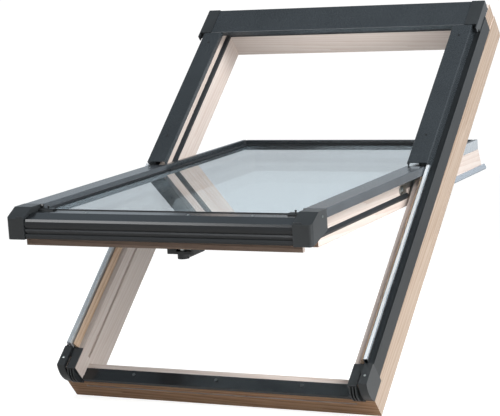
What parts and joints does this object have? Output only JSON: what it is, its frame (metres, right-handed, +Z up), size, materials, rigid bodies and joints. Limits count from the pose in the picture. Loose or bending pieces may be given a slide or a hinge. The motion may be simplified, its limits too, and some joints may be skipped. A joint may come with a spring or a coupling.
{
  "type": "centre-pivot roof window",
  "caption": "Centre-pivot roof window: pine frame and glazed pine sash under dark folded aluminium covers, with the sash tilted open and a lock handle on its lower rail.",
  "frame": {"origin": "middle of the sill's room-side face", "axes": "+X across the window to the right seen from outside, +Z up, the window's outer face looks to -Y and up at the roof's pitch"},
  "size_m": [0.78, 1.1614, 0.9515],
  "materials": {
    "pine": "clear lacquered pine",
    "coated_aluminium": "satin powder coat",
    "mill_aluminium": "bare extruded",
    "black_plastic": "moulded, fine grained",
    "gasket_rubber": "extruded",
    "glass": "clear float glass",
    "zinc_steel": "zinc plated"
  },
  "bodies": {
    "frame": {"frame_head": "pine", "frame_head_gasket": "gasket_rubber", "frame_left_gasket": "gasket_rubber", "frame_left_hinge": "zinc_steel", "frame_left_jamb": "pine", "frame_right_gasket": "gasket_rubber", "frame_right_hinge": "zinc_steel", "frame_right_jamb": "pine", "frame_sill": "pine", "head_cladding": "coated_aluminium", "hood_cover": "coated_aluminium", "hood_left_cap": "black_plastic", "hood_right_cap": "black_plastic", "left_fixed_cover": "coated_aluminium", "left_jamb_cladding": "coated_aluminium", "left_pivot_pin": "zinc_steel", "left_side_rail": "mill_aluminium", "right_fixed_cover": "coated_aluminium", "right_jamb_cladding": "coated_aluminium", "right_pivot_pin": "zinc_steel", "right_side_rail": "mill_aluminium", "sill_cover": "coated_aluminium", "sill_left_corner": "black_plastic", "sill_right_corner": "black_plastic", "sill_screws": "zinc_steel", "striker": "zinc_steel"},
    "sash": {"bottom_cover": "coated_aluminium", "bottom_left_cap": "black_plastic", "bottom_right_cap": "black_plastic", "glazing_spacer": "mill_aluminium", "inner_pane": "glass", "left_glazing_bar": "coated_aluminium", "left_side_cover": "coated_aluminium", "lock_body": "black_plastic", "outer_pane": "glass", "right_glazing_bar": "coated_aluminium", "right_side_cover": "coated_aluminium", "sash_bottom_rail": "pine", "sash_bottom_seal": "gasket_rubber", "sash_left_hinge": "zinc_steel", "sash_left_seal": "gasket_rubber", "sash_left_stile": "pine", "sash_right_hinge": "zinc_steel", "sash_right_seal": "gasket_rubber", "sash_right_stile": "pine", "sash_top_rail": "pine", "sash_top_seal": "gasket_rubber", "top_glazing_bar": "coated_aluminium"},
    "handle": {"handle_lever": "black_plastic", "handle_spindle": "zinc_steel", "lock_cam": "zinc_steel"}
  },
  "joints": [
    {"name": "sash_pivot", "type": "hinge", "parent": "frame", "child": "sash", "pos_m": [0, 0.29812, 0.5074], "axis": [-1, 0, 0], "range_deg": [-39.5, 45.5]},
    {"name": "handle_turn", "type": "hinge", "parent": "sash", "child": "handle", "pos_m": [0, -0.2036, 0.34096], "axis": [0, 0.1392, -0.9903], "range_deg": [0, 90]}
  ]
}
